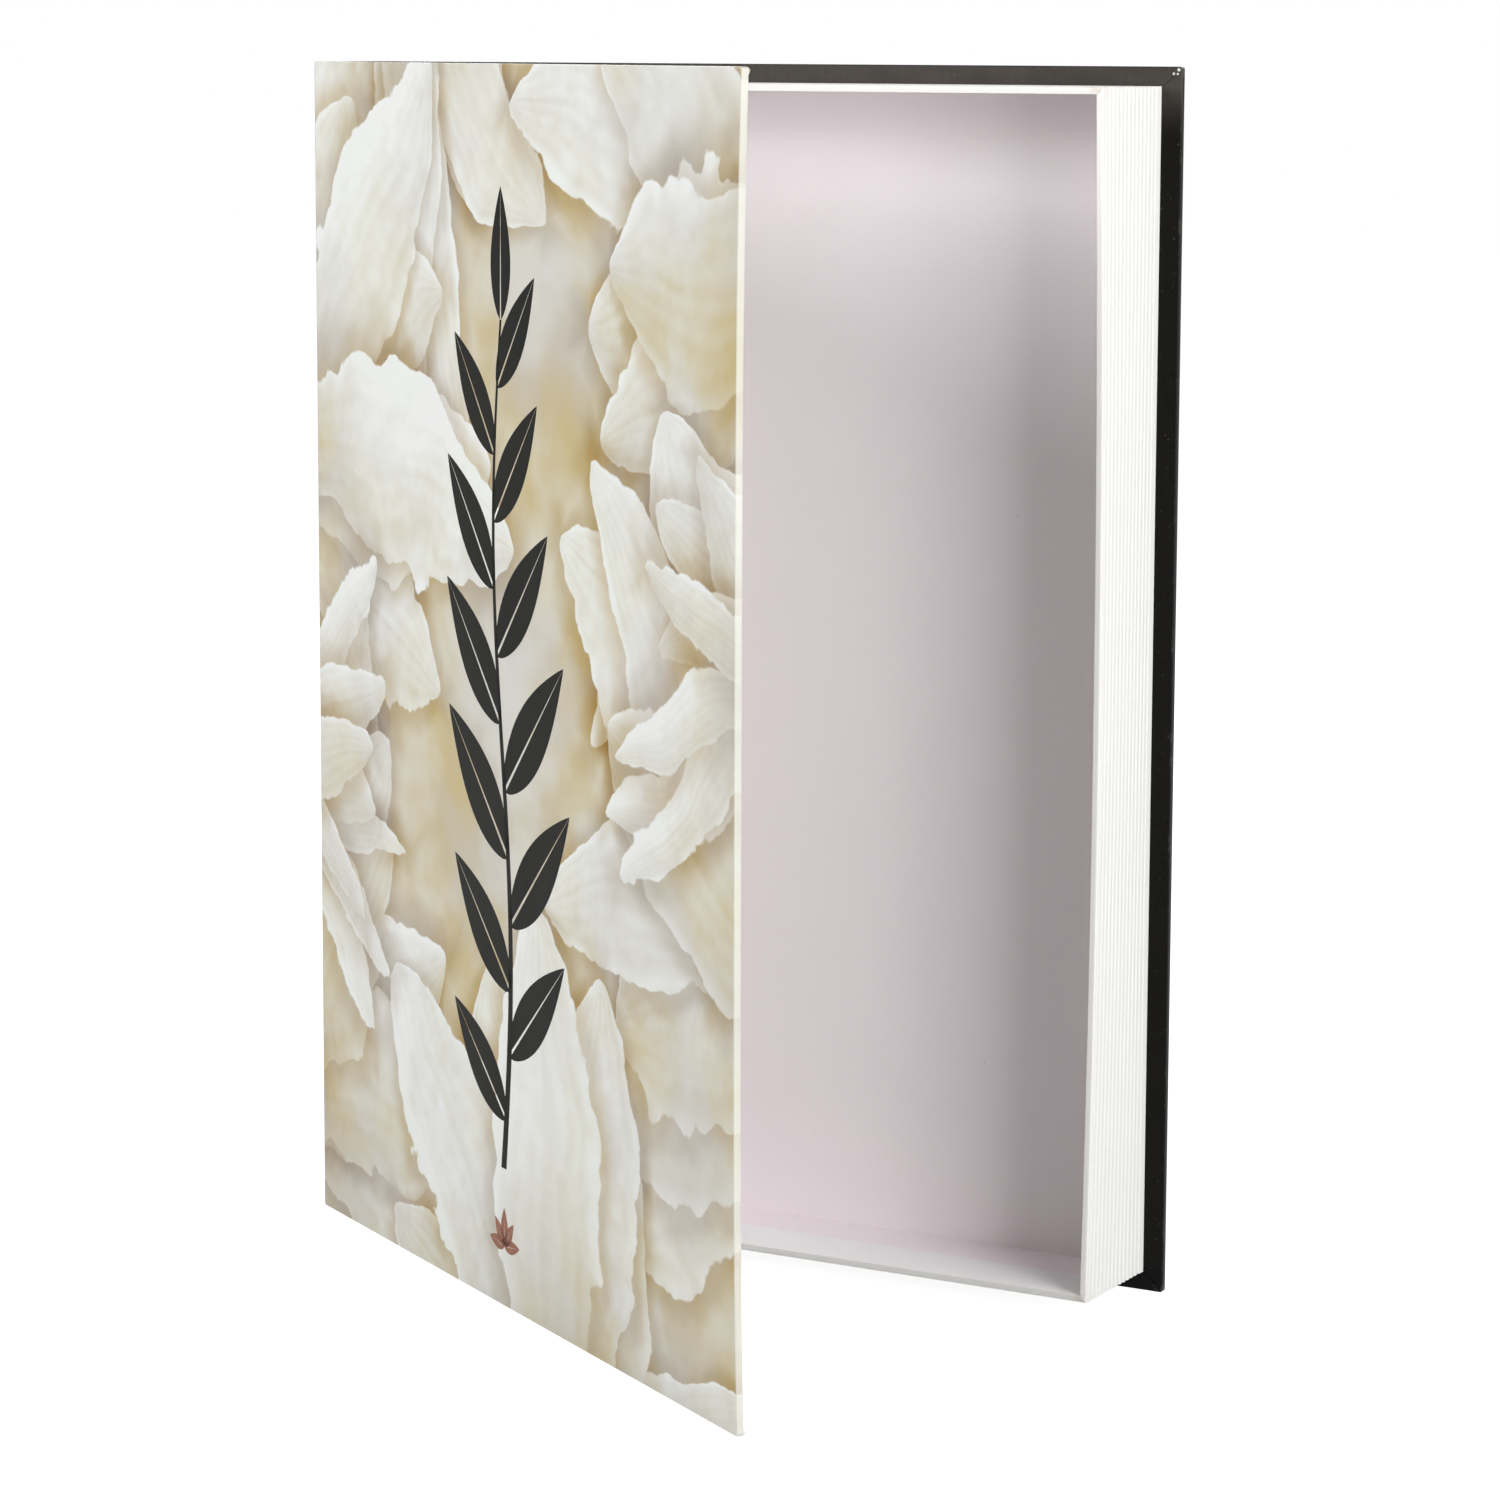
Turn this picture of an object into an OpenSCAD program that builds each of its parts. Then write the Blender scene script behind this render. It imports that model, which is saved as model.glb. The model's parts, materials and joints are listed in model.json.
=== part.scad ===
// Book box: a hardcover book case glued round a shallow tray whose outer walls look like pages.
// It stands on its tail edge, with the front cover swung part of the way open.
// X runs from the spine to the fore edge, Y from the reader to the back, Z from tail to head.
// The origin is the middle of the back cover's tail edge. All sizes are in millimetres.

/* [Book] */
// Height of the covers, tail to head
book_h = 340; // [240:1:400]
// Width of the closed book, spine to fore edge
book_w = 257; // [180:1:320]
// Angle that the front cover stands open, from closed
open_angle = 31.3; // [0:0.1:180]

/* [Case] */
// Thickness of the greyboard in the two covers and the spine
case_board_t = 1.75; // [1.5:0.25:3]
// Thickness of the printed and laminated covering paper
case_paper_t = 0.15; // [0.1:0.05:0.3]
// Width of the covering paper that is turned in over the board edges
turn_in_w = 18; // [14:1:25]
// Radius of the paper where it folds over a board edge
case_edge_r = 0.4; // [0.2:0.05:0.5]
// Radius of the two fore-edge corners of a cover, seen from the front
case_corner_r = 1; // [0.5:0.25:3]
// Width of the seam where two turn-ins meet in a mitre
mitre_gap = 0.2; // [0.1:0.1:0.6]
// Thickness of the lower turn-in's edge, which lies under that seam
mitre_under = 0.04; // [0.02:0.01:0.07]
// Length of the pleat in the turned-in paper at a fore-edge corner, from the corner along the mitre
pleat_l = 4.2; // [3:0.1:5]
// Width of the pleat
pleat_w = 2.4; // [1.5:0.1:3]
// Height of the pleat's gathered layers over the turned-in paper
pleat_h = 0.5; // [0.2:0.05:0.7]

/* [Linings] */
// Thickness of the lining papers on the front cover and in the joint
lining_t = 0.15; // [0.1:0.05:0.25]
// Thickness of the paste between the cover lining and what it lies on
paste_t = 0.02; // [0.01:0.01:0.05]
// Border of turned-in paper that shows round the cover lining
lining_border = 4; // [2:0.5:8]

/* [Joint] */
// Clearance between the closed cover and the tray's rim
closed_clear = 0.3; // [0.2:0.05:0.6]
// Clearance between the cover board's lined edge and the lined joint strip
joint_clear = 0.2; // [0.15:0.05:0.5]
// Gap between the rounded fold and the covering paper of the front cover
fold_clear = 0.05; // [0.04:0.01:0.1]
// Radius of the paper's corners at the head and the tail of that fold
fold_end_r = 0.7; // [0.3:0.1:0.9]
// Gap between the back edge of the spine board and the back cover
back_joint_gap = 0.25; // [0.2:0.05:0.6]

/* [Tray] */
// Depth of the tray, from the back cover to the front of its rim
tray_depth = 37; // [34:0.5:60]
// Thickness of the greyboard in the tray
tray_board_t = 1.2; // [0.8:0.1:2.5]
// Distance that the covers stand past the tray at the head and the tail
square_ends = 5.3; // [3:0.1:8]
// Distance that the covers stand past the tray at the fore edge
square_fore = 6; // [4:0.5:10]
// Thickness of the white paper that covers the tray, under its ribs
page_paper_t = 0.2; // [0.2:0.05:0.35]
// Width of the white paper glued under the tray's floor
under_flange_w = 12; // [6:1:20]
// Width of the white paper turned over the rim and glued inside the walls
rim_turn_in_w = 19; // [12:1:28]
// Thickness of the tinted sheet that lines the floor and the lower part of the walls
floor_liner_t = 0.2; // [0.15:0.05:0.4]
// Gap between the upper edge of that sheet and the turned-in white paper
liner_seam = 0.1; // [0.1:0.05:0.5]
// Width of the seam where the white papers meet at a corner
page_seam = 0.1; // [0.1:0.05:0.3]

/* [Page ribs] */
// Height of the ribs that stand for page edges
rib_h = 0.3; // [0.2:0.05:0.6]
// Number of grooves between the ribs
groove_count = 14; // [10:1:18]
// Distance from the front of the rim to the first groove
rib_front = 0.95; // [0.8:0.05:1.5]
// Distance from the last groove to the back cover
rib_back = 3.5; // [3.25:0.25:8]
// Radius of the paper where it folds over the outer edge of the rim
rim_r = 0.6; // [0.3:0.05:0.7]

/* [Corner stays] */
// Length of each leg of the paper tape that holds a tray corner
stay_leg = 14; // [8:1:20]
// Thickness of the paper tape
stay_t = 0.1; // [0.05:0.01:0.12]
// Distance that the tape stops short of the rim and of the floor's underside
stay_end_gap = 0.5; // [0.3:0.1:2]

/* [Hidden] */

ARC_STEPS = 4;   // straight stretches that stand for a folded edge's quarter circle
RIB_STEPS = 6;   // straight stretches across one rib
PAST = 1;        // how far a cutting shape runs past what it cuts
FOLD_LIMIT = 3;  // largest fold radius, in paper thicknesses, that still covers a board's corner

// Thickness of a board with its paper on the outside and its turn-in on the inside
wrapped_t = case_board_t + 2 * case_paper_t;
fold_r = min(case_edge_r, FOLD_LIMIT * case_paper_t);
pasted_t = paste_t + lining_t;

// The two covers share local coordinates: u runs from the spine's outer face to the fore edge,
// and w from a cover's outer face to its inside
board_u = case_paper_t + lining_t + joint_clear + pasted_t;
board_in_w = case_paper_t + case_board_t;

// Levels from the back of the book to the front
back_outer_y = wrapped_t / 2;
tray_back_y = back_outer_y - wrapped_t;
tray_front_y = tray_back_y - tray_depth;
front_outer_y = tray_front_y - closed_clear - pasted_t - wrapped_t;

// Spine, from its outer face inwards
spine_outer_x = -book_w / 2;
spine_in_x = spine_outer_x + wrapped_t;
spine_front_y = tray_front_y + lining_t;
spine_back_y = tray_back_y - back_joint_gap;

// The fold that the front cover turns about, in the middle of the paper's thickness
fold_x = spine_outer_x + case_paper_t / 2;
fold_y = front_outer_y + case_paper_t / 2;

// Outer faces of the tray's paper, at the tops of its ribs
tray_left_x = spine_in_x;
tray_right_x = book_w / 2 - square_fore;
tray_low_z = square_ends;
tray_high_z = book_h - square_ends;

// Outer faces of the tray's boards
wall_left_x = tray_left_x + page_paper_t;
wall_right_x = tray_right_x - rib_h - page_paper_t;
wall_low_z = tray_low_z + rib_h + page_paper_t;
wall_high_z = tray_high_z - rib_h - page_paper_t;
floor_under_y = tray_back_y - page_paper_t;
floor_top_y = floor_under_y - tray_board_t;
wall_front_y = tray_front_y + page_paper_t;

// Inner faces of the tray's boards, and the level where the paper turned over the rim ends
board_left_in_x = wall_left_x + tray_board_t;
board_right_in_x = wall_right_x - tray_board_t;
board_low_in_z = wall_low_z + tray_board_t;
board_high_in_z = wall_high_z - tray_board_t;
turn_in_end_y = tray_front_y + rim_turn_in_w;

// Inner faces of the tray's paper
skin_t = tray_board_t + page_paper_t;
cavity_left_x = wall_left_x + skin_t;
cavity_right_x = wall_right_x - skin_t;
cavity_low_z = wall_low_z + skin_t;
cavity_high_z = wall_high_z - skin_t;

// A block between two opposite corners
module block(low, high) {
    translate(low) cube(high - low);
}

// A section drawn as [z, y] points, run along X from x0 to x1
module run_along_x(x0, x1, points) {
    translate([x1, 0, 0]) rotate([0, -90, 0]) linear_extrude(x1 - x0) polygon(points);
}

// A section drawn as [x, z] points, run along Y from y0 to y1
module run_along_y(y0, y1, points) {
    translate([0, y1, 0]) rotate([90, 0, 0]) linear_extrude(y1 - y0) polygon(points);
}

// Points of a quarter circle round c, from the angle a0 on
function quarter(c, r, a0) =
    [for (i = [0 : ARC_STEPS]) c + r * [cos(a0 + 90 * i / ARC_STEPS), sin(a0 + 90 * i / ARC_STEPS)]];

// Places a piece drawn in the front cover's closed coordinates at its open angle
module on_front_cover() {
    translate([fold_x, fold_y, 0])
        rotate([0, 0, -open_angle])
            translate([-case_paper_t / 2, -case_paper_t / 2, 0])
                children();
}

// Places a piece drawn in cover coordinates on the back cover
module on_back_cover() {
    translate([spine_outer_x, back_outer_y, 0]) mirror([0, 1, 0]) children();
}

// A corner of an outline, rounded by r, with the arc's centre at c, or square if r is 0
function outline_corner(c, r, a0) = r > 0 ? quarter(c, r, a0) : [c];

// A cover's outline as [u, z] points, drawn in by inset, with its two fore-edge corners rounded,
// and the two corners at its start rounded by start_r
function cover_outline(start_u, inset, start_r) =
    let (r = case_corner_r - inset, end_u = book_w - case_corner_r)
    concat(
        outline_corner([start_u + start_r, book_h - inset - start_r], start_r, 90),
        outline_corner([start_u + start_r, inset + start_r], start_r, 180),
        quarter([end_u, case_corner_r], r, -90),
        quarter([end_u, book_h - case_corner_r], r, 0)
    );

// The outer form of a wrapped cover: folded edges at the head, the tail and the fore edge
module cover_form(start_u, start_r) {
    r = fold_r;
    plan = concat(
        [[start_u, wrapped_t], [start_u, 0]],
        quarter([book_w - r, r], r, -90),
        quarter([book_w - r, wrapped_t - r], r, 0)
    );
    section = concat(
        quarter([r, wrapped_t - r], r, 90),
        quarter([r, r], r, 180),
        quarter([book_h - r, r], r, 270),
        quarter([book_h - r, wrapped_t - r], r, 0)
    );
    intersection() {
        linear_extrude(book_h) polygon(plan);
        run_along_x(start_u - PAST, book_w + PAST, section);
        run_along_y(-PAST, wrapped_t + PAST, cover_outline(start_u, 0, start_r));
    }
}

// The greyboard of one cover
module cover_board() {
    run_along_y(case_paper_t, board_in_w, cover_outline(board_u, case_paper_t, 0));
}

// The creases where the head and tail turn-ins meet the fore edge's in a mitre
module turn_in_mitres() {
    reach = turn_in_w * sqrt(2);
    for (corner = [[fold_r, 1], [book_h - fold_r, -1]])
        translate([book_w - fold_r, board_in_w + mitre_under, corner[0]])
            rotate([0, corner[1] * 45, 0])
                translate([-reach, 0, -mitre_gap / 2])
                    cube([reach, case_paper_t + PAST, mitre_gap]);
}

// The window that the turned-in paper leaves open on the inside of a cover, drawn in by inset
module turn_in_window(inset) {
    edge = turn_in_w + inset;
    block([-PAST, board_in_w + inset, edge], [book_w - edge, wrapped_t + PAST, book_h - edge]);
}

// The low rounded pleats of gathered paper over the outer ends of the two mitres
module corner_pleats() {
    r = (pleat_w * pleat_w / 4 + pleat_h * pleat_h) / (2 * pleat_h);
    reach = pleat_l - pleat_w / 2;
    intersection() {
        run_along_y(wrapped_t - case_paper_t / 2, wrapped_t + 2 * pleat_h, cover_outline(0, fold_r, 0));
        for (corner = [[0, 1], [book_h, -1]])
            translate([book_w, wrapped_t + pleat_h - r, corner[0]])
                rotate([0, corner[1] * -45, 0]) {
                    cylinder(h = 2 * reach, r = r, center = true, $fn = 48);
                    translate([0, 0, corner[1] * reach]) sphere(r, $fn = 48);
                }
    }
}

// The covering paper of one cover, folded round its board and turned in on three sides
module cover_wrap(start_u, start_r) {
    difference() {
        cover_form(start_u, start_r);
        cover_board();
        block([-PAST, case_paper_t, -PAST], [board_u, wrapped_t + PAST, book_h + PAST]);
        turn_in_window(0);
        turn_in_mitres();
    }
    corner_pleats();
}

module back_board() {
    color("tan") on_back_cover() cover_board();
}

module back_wrap() {
    color("#1c1a1a") on_back_cover() cover_wrap(board_u, 0);
}

// The covering paper's bend from the back cover round to the spine
module back_joint_strip() {
    end_w = back_outer_y - spine_back_y;
    section = concat(
        quarter([fold_r, fold_r], fold_r, 180),
        [[board_u, 0], [board_u, case_paper_t], [case_paper_t, case_paper_t],
         [case_paper_t, end_w], [0, end_w]]
    );
    color("#1c1a1a") on_back_cover() linear_extrude(book_h) polygon(section);
}

module spine_board() {
    color("tan")
        block([spine_outer_x + case_paper_t, spine_front_y, case_paper_t],
              [spine_in_x - case_paper_t, spine_back_y, book_h - case_paper_t]);
}

// The covering paper of the spine, turned in at the head and the tail
module spine_wrap() {
    color("#1c1a1a") difference() {
        block([spine_outer_x, spine_front_y, 0], [spine_in_x, spine_back_y, book_h]);
        block([spine_outer_x + case_paper_t, spine_front_y - PAST, case_paper_t],
              [spine_in_x - case_paper_t, spine_back_y + PAST, book_h - case_paper_t]);
        block([spine_in_x - case_paper_t - PAST, spine_front_y - PAST, turn_in_w],
              [spine_in_x + PAST, spine_back_y + PAST, book_h - turn_in_w]);
    }
}

// The free covering paper between the spine board and the front cover, ending in the rounded fold
module front_joint_strip() {
    low_z = fold_end_r;
    high_z = book_h - fold_end_r;
    outline = concat(
        [[0, spine_front_y]],
        quarter([low_z, fold_y + fold_end_r], fold_end_r, 180),
        quarter([high_z, fold_y + fold_end_r], fold_end_r, 270),
        [[book_h, spine_front_y]]
    );
    color("#1c1a1a") union() {
        run_along_x(spine_outer_x, spine_outer_x + case_paper_t, outline);
        translate([fold_x, fold_y, low_z]) cylinder(h = high_z - low_z, d = case_paper_t, $fn = 48);
    }
}

// The lining glued inside the joint strip and over the front edge of the spine board
module joint_lining() {
    in_x = spine_outer_x + case_paper_t;
    color("whitesmoke") union() {
        block([in_x, fold_y + case_paper_t, lining_border],
              [in_x + lining_t, spine_front_y, book_h - lining_border]);
        block([in_x, spine_front_y - lining_t, lining_border],
              [spine_in_x, spine_front_y, book_h - lining_border]);
    }
}

module front_board() {
    color("tan") on_front_cover() cover_board();
}

module front_wrap() {
    color("#d9d2c2") on_front_cover() cover_wrap(case_paper_t + fold_clear, fold_end_r);
}

// The lining of the front cover, pressed down inside the turn-ins and round the joint edge
module front_lining() {
    low_z = lining_border;
    high_z = book_h - lining_border;
    start_u = board_u - paste_t;
    color("whitesmoke") on_front_cover() difference() {
        block([board_u - pasted_t, case_paper_t + paste_t, low_z],
              [book_w - lining_border, wrapped_t + pasted_t, high_z]);
        block([start_u, -PAST, 0], [book_w, board_in_w + paste_t, book_h]);
        difference() {
            block([start_u, board_in_w - PAST, 0], [book_w, wrapped_t + paste_t, book_h]);
            turn_in_window(paste_t);
        }
        turn_in_window(pasted_t);
    }
}

module tray_floor() {
    color("tan")
        block([wall_left_x, floor_top_y, wall_low_z], [wall_right_x, floor_under_y, wall_high_z]);
}

// A wall that runs the tray's whole width, with its outer face at z and its inner face towards dir
module end_wall(z, dir) {
    low = min(z, z + dir * tray_board_t);
    color("tan")
        block([wall_left_x, wall_front_y, low], [wall_right_x, floor_top_y, low + tray_board_t]);
}

// A wall that stands between the head and tail walls
module side_wall(x, dir) {
    low = min(x, x + dir * tray_board_t);
    color("tan")
        block([low, wall_front_y, wall_low_z + tray_board_t],
              [low + tray_board_t, floor_top_y, wall_high_z - tray_board_t]);
}

module tray_head_wall() {
    end_wall(wall_high_z, -1);
}

module tray_tail_wall() {
    end_wall(wall_low_z, 1);
}

module tray_fore_edge_wall() {
    side_wall(wall_right_x, -1);
}

module tray_spine_wall() {
    side_wall(wall_left_x, 1);
}

// One strip of tape folded round an upright corner of the tray, with its legs along dx and dz
module corner_stay(x, z, dx, dz) {
    section = [
        [x + dx * stay_t, z - dz * stay_leg], [x + dx * stay_t, z + dz * stay_t],
        [x - dx * stay_leg, z + dz * stay_t], [x - dx * stay_leg, z],
        [x, z], [x, z - dz * stay_leg]
    ];
    color("burlywood")
        run_along_y(wall_front_y + stay_end_gap, floor_under_y - stay_end_gap, section);
}

module corner_stay_head_spine() {
    corner_stay(wall_left_x, wall_high_z, -1, 1);
}

module corner_stay_head_fore() {
    corner_stay(wall_right_x, wall_high_z, 1, 1);
}

module corner_stay_tail_spine() {
    corner_stay(wall_left_x, wall_low_z, -1, -1);
}

module corner_stay_tail_fore() {
    corner_stay(wall_right_x, wall_low_z, 1, -1);
}

// All four stays, which the white paper is pressed down over
module corner_stays() {
    corner_stay_head_spine();
    corner_stay_head_fore();
    corner_stay_tail_spine();
    corner_stay_tail_fore();
}

// Rise of the page paper over its grooves, as [distance from the rim, rise] points:
// a folded rim, the ribs, and a flat margin to the back
function rib_profile() =
    let (
        last = tray_depth - rib_back,
        pitch = (last - rib_front) / (groove_count - 1),
        first_half = rib_front - rim_r,
        half_steps = RIB_STEPS / 2
    )
    concat(
        [for (i = [0 : ARC_STEPS]) let (a = 90 * i / ARC_STEPS)
            [rim_r * (1 - cos(a)), rib_h - rim_r * (1 - sin(a))]],
        [for (i = [1 : half_steps]) let (s = i / half_steps)
            [rim_r + first_half * s, rib_h * sqrt(1 - s * s)]],
        [for (g = [0 : groove_count - 2], i = [1 : RIB_STEPS]) let (s = i / half_steps - 1)
            [rib_front + (g + i / RIB_STEPS) * pitch, rib_h * sqrt(1 - s * s)]],
        [for (i = [1 : half_steps]) let (s = 1 - i / half_steps)
            [last + (1 - s) * pitch / 2, rib_h * sqrt(1 - s * s)]],
        [[tray_depth, rib_h]]
    );

// The tray's outer form: the ribs run unbroken round the head, the fore edge and the tail
module ribbed_form() {
    rise = rib_profile();
    back_first = [for (i = [len(rise) - 1 : -1 : 0]) rise[i]];
    base_x = tray_right_x - rib_h;
    plan = concat(
        [[tray_left_x, tray_back_y], [tray_left_x, tray_front_y]],
        [for (p = rise) [base_x + p[1], tray_front_y + p[0]]]
    );
    section = concat(
        [for (p = back_first) [tray_low_z + rib_h - p[1], tray_front_y + p[0]]],
        [for (p = rise) [tray_high_z - rib_h + p[1], tray_front_y + p[0]]]
    );
    intersection() {
        linear_extrude(book_h) polygon(plan);
        run_along_x(tray_left_x - PAST, tray_right_x + PAST, section);
    }
}

// The boards of the tray, with the floor and the walls as one block round the cavity
module tray_board_block() {
    difference() {
        block([wall_left_x, wall_front_y, wall_low_z], [wall_right_x, floor_under_y, wall_high_z]);
        block([board_left_in_x, wall_front_y - PAST, board_low_in_z],
              [board_right_in_x, floor_top_y, board_high_in_z]);
    }
}

// The white paper as it would be with no seam: outside, over the rim, inside and under the floor
module tray_paper() {
    difference() {
        ribbed_form();
        tray_board_block();
        corner_stays();
        block([cavity_left_x, tray_front_y - PAST, cavity_low_z],
              [cavity_right_x, floor_top_y, cavity_high_z]);
        block([board_left_in_x, turn_in_end_y, board_low_in_z],
              [board_right_in_x, floor_top_y, board_high_in_z]);
        block([wall_left_x + under_flange_w, floor_under_y - PAST, wall_low_z + under_flange_w],
              [wall_right_x - under_flange_w, tray_back_y + PAST, wall_high_z - under_flange_w]);
    }
}

// The part of the tray's paper on the spine side, mitred at the head and the tail
module spine_side_zone(grow) {
    reach = max(under_flange_w, skin_t) + PAST;
    low_z = tray_low_z + rib_h - grow;
    high_z = tray_high_z - rib_h + grow;
    near_x = tray_left_x - PAST;
    far_x = tray_left_x + reach;
    run_along_y(tray_front_y - PAST, tray_back_y + PAST,
        [[near_x, low_z - PAST], [far_x, low_z + reach], [far_x, high_z - reach], [near_x, high_z + PAST]]);
}

// The slits in the rim and inside at the two fore-edge corners, where the turned-over paper meets
module fore_edge_mitres() {
    length = (under_flange_w + skin_t) * sqrt(2);
    for (corner = [[wall_low_z, 1], [wall_high_z, -1]])
        translate([wall_right_x, tray_front_y - PAST, corner[0]])
            rotate([0, corner[1] * 45, 0])
                translate([-length, 0, -page_seam / 2])
                    cube([length, tray_depth + 2 * PAST, page_seam]);
}

// The ribbed paper round the head, the fore edge and the tail
module page_edge_wrap() {
    color("white") difference() {
        tray_paper();
        spine_side_zone(page_seam);
        fore_edge_mitres();
    }
}

// The plain paper on the wall that is glued to the spine, folded in a C round its two long edges
module spine_side_wrap() {
    flange_x = wall_left_x + under_flange_w;
    section = [
        [tray_left_x, tray_back_y], [tray_left_x, tray_front_y],
        [cavity_left_x, tray_front_y], [cavity_left_x, turn_in_end_y],
        [board_left_in_x, turn_in_end_y], [board_left_in_x, wall_front_y],
        [wall_left_x, wall_front_y], [wall_left_x, floor_under_y],
        [flange_x, floor_under_y], [flange_x, tray_back_y]
    ];
    color("white") difference() {
        intersection() {
            linear_extrude(book_h) polygon(section);
            spine_side_zone(0);
        }
        corner_stays();
    }
}

// The tinted sheet on the tray's floor, folded up the walls to the white paper, and cut at its corners
module floor_liner() {
    edge_y = turn_in_end_y + liner_seam;
    t = floor_liner_t;
    color("#dcd5da") difference() {
        block([board_left_in_x, edge_y, board_low_in_z], [board_right_in_x, floor_top_y, board_high_in_z]);
        block([board_left_in_x + t, edge_y - PAST, board_low_in_z + t],
              [board_right_in_x - t, floor_top_y - t, board_high_in_z - t]);
        for (z = [board_low_in_z + t, board_high_in_z - t - liner_seam])
            block([board_left_in_x - PAST, edge_y - PAST, z],
                  [board_right_in_x + PAST, floor_top_y - t, z + liner_seam]);
    }
}

back_board();
back_wrap();
back_joint_strip();
spine_board();
spine_wrap();
front_joint_strip();
joint_lining();
front_board();
front_wrap();
front_lining();
tray_floor();
tray_head_wall();
tray_tail_wall();
tray_fore_edge_wall();
tray_spine_wall();
corner_stay_head_spine();
corner_stay_head_fore();
corner_stay_tail_spine();
corner_stay_tail_fore();
page_edge_wrap();
spine_side_wrap();
floor_liner();
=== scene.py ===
import json
import math

import bmesh
import bpy
from bpy.props import FloatProperty, FloatVectorProperty, IntProperty, PointerProperty
from bpy.types import Operator, Panel, PropertyGroup
from mathutils import Euler, Matrix, Vector


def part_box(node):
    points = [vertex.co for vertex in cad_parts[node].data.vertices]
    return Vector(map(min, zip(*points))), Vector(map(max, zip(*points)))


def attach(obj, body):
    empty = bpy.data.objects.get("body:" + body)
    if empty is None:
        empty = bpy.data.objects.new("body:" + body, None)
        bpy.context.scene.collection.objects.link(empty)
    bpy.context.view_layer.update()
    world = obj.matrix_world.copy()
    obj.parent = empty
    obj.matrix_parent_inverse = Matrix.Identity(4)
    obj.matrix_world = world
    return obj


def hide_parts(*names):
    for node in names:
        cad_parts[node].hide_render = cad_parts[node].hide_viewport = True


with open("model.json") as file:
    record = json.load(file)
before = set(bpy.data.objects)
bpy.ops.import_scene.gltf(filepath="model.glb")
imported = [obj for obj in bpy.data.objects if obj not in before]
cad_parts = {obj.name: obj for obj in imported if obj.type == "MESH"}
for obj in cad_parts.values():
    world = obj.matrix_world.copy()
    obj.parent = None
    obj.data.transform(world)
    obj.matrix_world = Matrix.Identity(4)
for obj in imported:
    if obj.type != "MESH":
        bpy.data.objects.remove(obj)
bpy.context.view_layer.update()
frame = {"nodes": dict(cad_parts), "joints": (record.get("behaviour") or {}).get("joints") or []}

bl_info = {
    "name": "Book Box Finishes",
    "version": (1, 0, 0),
    "blender": (4, 5, 0),
    "location": "3D View > Sidebar > Book Box",
    "description": "Covering papers, page-edge paper, linings and print of a keepsake box made like a book",
    "category": "Object",
}

MM = 0.001
WELD = 1e-6            # vertices closer than this, in metres, are one
SHARP = math.radians(28)

# The object's own measures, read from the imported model
HINGE = frame["joints"][0]
FOLD = Vector((HINGE["pos_m"][0], HINGE["pos_m"][1], 0.0))
OPEN = -math.radians(HINGE["range_deg"][0])
SPINE_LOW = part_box("spine_wrap")[0]
BACK_LOW, BACK_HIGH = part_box("back_wrap")
TRAY_LOW, TRAY_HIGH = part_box("page_edge_wrap")
WALL_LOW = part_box("tray_fore_edge_wall")[0]
FLOOR_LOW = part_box("tray_floor")[0]
BOOK_W = BACK_HIGH.x - SPINE_LOW.x
BOOK_H = BACK_HIGH.z - BACK_LOW.z
PAPER_T = 2 * (FOLD.x - SPINE_LOW.x)

# The ribs of the page-edge paper, as in the part's source, and how much painted shade darkens its grooves
RIB_FRONT, RIB_BACK, GROOVES = 0.95 * MM, 3.5 * MM, 14
GROOVE_SHADE = 0.16

# The printed sprig: middle and sway of its stem across the cover, its foot and head as shares of the
# height, and the stem's thickness at both ends
STEM_U, STEM_SWAY = 0.482 * BOOK_W, 5 * MM
SPRIG_FOOT, SPRIG_HEAD = 0.115, 0.80
STEM_THICK = (3.2 * MM, 1.2 * MM)

# Its leaves: where along the stem the first and the longest stand, how much shorter they get towards the
# ends, how many degrees they lean at the foot and how many fewer at the head, and the half widths of a
# leaf and of its pale midrib as shares of its length
FIRST_LEAF, LONGEST_LEAF, SHORTER = 0.06, 0.40, 0.34
LEAN, LEAN_LESS = 50, 14
LEAF_WIDTH, LEAF_MIDRIB = 0.165, 0.01

# The small mark under it: foot as a share of the height, length and half width of its leaves, and how
# they stand in degrees: one upright and two shorter ones on each side
MARK_FOOT, MARK_LEAF, MARK_LEAF_WIDTH = 0.050, 11 * MM, 0.20
MARK_SIDE_LEAF = 0.86
UPRIGHT, SIDE_LEAVES = 90, (128, 52, 172, 8)

# Tones of wear, folds and dust that lie over the papers' own colours, and of painted shade, sheen and
# glints
RUBBED_PRINT = (0.86, 0.84, 0.76, 1)
FOLD_TONE_AND_SHADE = (0.745, 0.745, 0.685, 1)
BLACK_CLOUD = (0.016, 0.015, 0.0138, 1)
BLACK_SCUFF = (0.050, 0.047, 0.044, 1)
BLACK_SHADED = (0.0008, 0.0008, 0.0008, 1)
BLACK_RUBBED = (0.34, 0.33, 0.31, 1)
BLACK_PAINTED_SHEEN = (0.076, 0.067, 0.059, 1)
BLACK_PAINTED_GLINT = (0.80, 0.79, 0.76, 1)
FILM_DUST = (0.30, 0.29, 0.28, 1)
RIM_WORN = (0.70, 0.60, 0.51, 1)
PAPER_SPECK = (0.30, 0.26, 0.27, 1)
BOARD_FLECK = (0.12, 0.10, 0.08, 1)

COVER_GLOSS, BLACK_GLOSS = 0.66, 0.74


def cover_matrix():
    """From the front cover's own measures (u across, w into the book, z up) to the row frame."""
    turn = Matrix.Rotation(-OPEN, 4, "Z")
    return Matrix.Translation(FOLD) @ turn @ Matrix.Translation((-PAPER_T / 2, -PAPER_T / 2, 0))


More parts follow.
